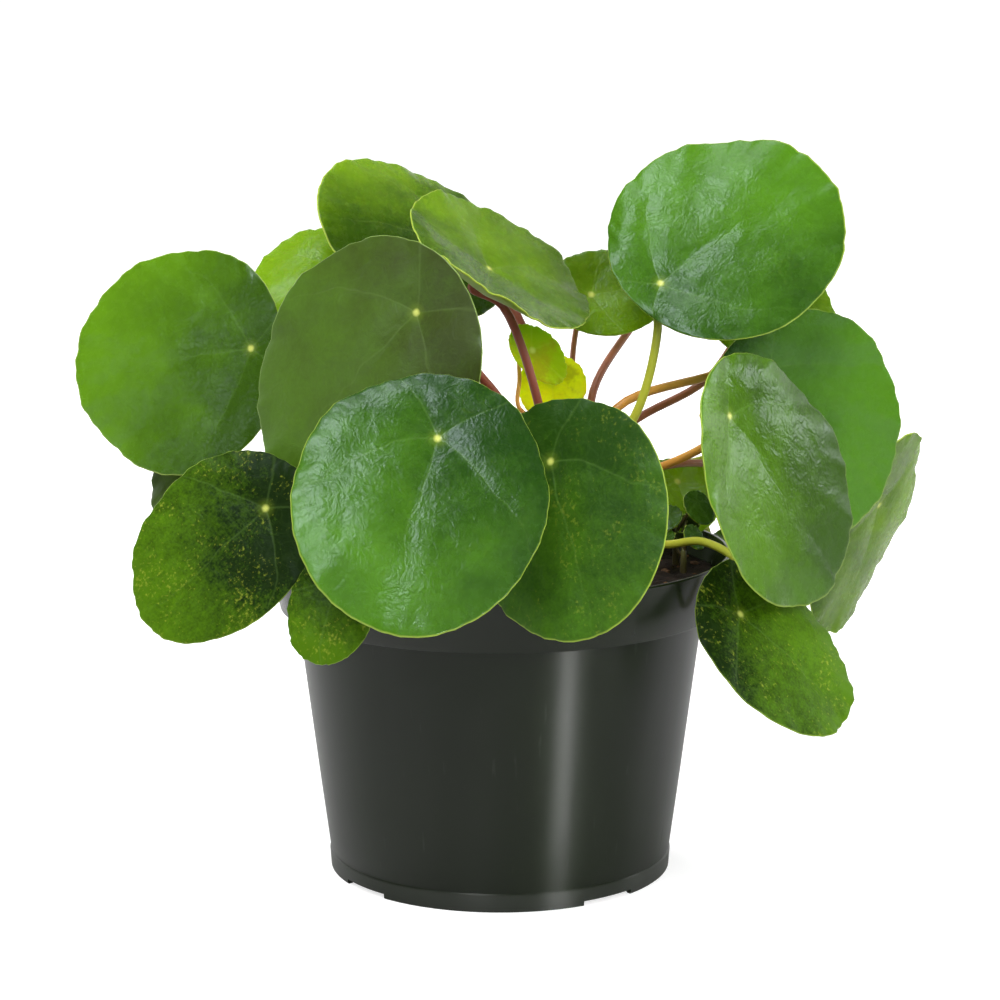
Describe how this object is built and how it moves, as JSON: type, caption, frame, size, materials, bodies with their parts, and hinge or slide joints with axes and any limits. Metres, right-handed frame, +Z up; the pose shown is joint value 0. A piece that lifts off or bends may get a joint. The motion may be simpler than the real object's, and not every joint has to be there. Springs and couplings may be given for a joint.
{
  "type": "potted chinese money plant",
  "caption": "Young potted Chinese money plant: round glossy leaves on long stalks round a short woody trunk, in a tapered dark plastic nursery pot filled with potting mix.",
  "frame": {"origin": "middle of the pot's foot, on the surface that the pot stands on; the middle of the part's box lies within a few millimetres of it", "axes": "+Z up along the pot's axis; -Y towards the front of the plant, as the picture sees it; +X to the plant's right as seen from the front, and the plant's widest way"},
  "size_m": [0.3144, 0.2524, 0.2592],
  "materials": {
    "pot": "satin",
    "potting_mix": "matte",
    "bark": "matte",
    "leaf_deep": "satin",
    "leaf_dull": "satin",
    "leaf_bright": "satin",
    "leaf_mottled": "satin",
    "leaf_light": "satin",
    "stalk_red": "satin",
    "stalk_brown": "satin",
    "stalk_amber": "satin",
    "stalk_green": "satin"
  },
  "bodies": {
    "root": {"pot": "pot", "potting_mix": "potting_mix", "trunk": "bark", "offset_inner": "leaf_deep", "offset_outer": "leaf_deep", "blade_front": "leaf_deep", "stalk_front": "stalk_red", "blade_front_right": "leaf_deep", "stalk_front_right": "stalk_red", "blade_centre_left": "leaf_dull", "stalk_centre_left": "stalk_red", "blade_far_left": "leaf_bright", "stalk_far_left": "stalk_green", "blade_low_left": "leaf_mottled", "stalk_low_left": "stalk_green", "blade_small_low_left": "leaf_mottled", "stalk_small_low_left": "stalk_green", "blade_back_left": "leaf_dull", "stalk_back_left": "stalk_green", "blade_top_left": "leaf_light", "stalk_top_left": "stalk_red", "blade_top_centre": "leaf_light", "stalk_top_centre": "stalk_red", "blade_back_small_left": "leaf_light", "stalk_back_small_left": "stalk_green", "blade_back_centre": "leaf_light", "stalk_back_centre": "stalk_brown", "blade_back_upper": "leaf_light", "stalk_back_upper": "stalk_brown", "blade_top_right": "leaf_deep", "stalk_top_right": "stalk_green", "blade_back_right": "leaf_light", "stalk_back_right": "stalk_brown", "blade_right": "leaf_deep", "stalk_right": "stalk_amber", "blade_front_far_right": "leaf_bright", "stalk_front_far_right": "stalk_amber", "blade_far_right": "leaf_light", "stalk_far_right": "stalk_brown", "blade_low_right": "leaf_mottled", "stalk_low_right": "stalk_green", "blade_low_back_right": "leaf_light", "stalk_low_back_right": "stalk_green", "blade_back_low_right": "leaf_light", "stalk_back_low_right": "stalk_green", "blade_young_front": "leaf_light", "stalk_young_front": "stalk_amber", "blade_young_back": "leaf_light", "stalk_young_back": "stalk_green", "blade_rear_left": "leaf_deep", "stalk_rear_left": "stalk_green", "blade_rear_centre": "leaf_deep", "stalk_rear_centre": "stalk_green", "blade_rear_upper_left": "leaf_deep", "stalk_rear_upper_left": "stalk_green", "blade_rear_right": "leaf_deep", "stalk_rear_right": "stalk_green"}
  },
  "joints": []
}
